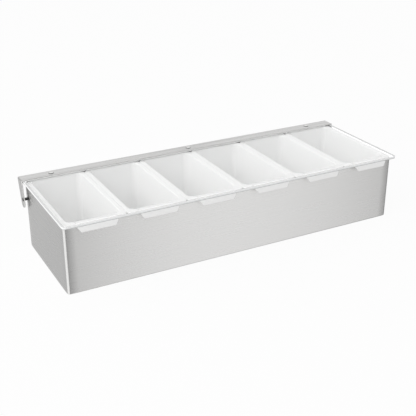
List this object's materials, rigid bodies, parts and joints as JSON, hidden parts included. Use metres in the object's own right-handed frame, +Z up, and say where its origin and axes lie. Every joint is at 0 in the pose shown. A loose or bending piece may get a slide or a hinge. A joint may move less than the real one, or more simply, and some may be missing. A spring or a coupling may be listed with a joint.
{
  "type": "condiment caddy",
  "caption": "Bar condiment caddy: open-top sheet-steel housing with lift-out moulded pots and a clear flip-up lid on a riveted hinge bar.",
  "frame": {"origin": "centre of the housing's flat underside, on the surface it stands on", "axes": "+Z up, +X along the caddy to the right of someone facing its pull lips, -Y towards that person"},
  "size_m": [0.4772, 0.167, 0.0932],
  "materials": {
    "brushed_sheet": "brushed stainless sheet, grain along the caddy",
    "white_plastic": "moulded white plastic, satin gloss",
    "clear_plastic": "clear polished plastic sheet",
    "fastener_steel": "plain stainless",
    "dark_steel": "darkened steel",
    "black_plastic": "black nylon"
  },
  "bodies": {
    "caddy": {"housing": "brushed_sheet", "pot_1": "white_plastic", "pot_2": "white_plastic", "pot_3": "white_plastic", "pot_4": "white_plastic", "pot_5": "white_plastic", "pot_6": "white_plastic", "pivot_pin_left": "dark_steel", "pivot_pin_right": "dark_steel", "spacer_sleeve_left": "black_plastic", "spacer_sleeve_right": "black_plastic", "pin_retainer_left": "fastener_steel", "pin_retainer_right": "fastener_steel"},
    "lid": {"lid_panel": "clear_plastic", "hinge_bar": "brushed_sheet", "lid_rivet_left": "fastener_steel", "lid_rivet_centre": "fastener_steel", "lid_rivet_right": "fastener_steel", "rivet_washer_left": "fastener_steel", "rivet_washer_centre": "fastener_steel", "rivet_washer_right": "fastener_steel"}
  },
  "joints": [
    {"name": "lid_hinge", "type": "hinge", "parent": "caddy", "child": "lid", "pos_m": [0, 0.0675, 0.0675], "axis": [-1, 0, 0], "range_deg": [0, 130]}
  ]
}
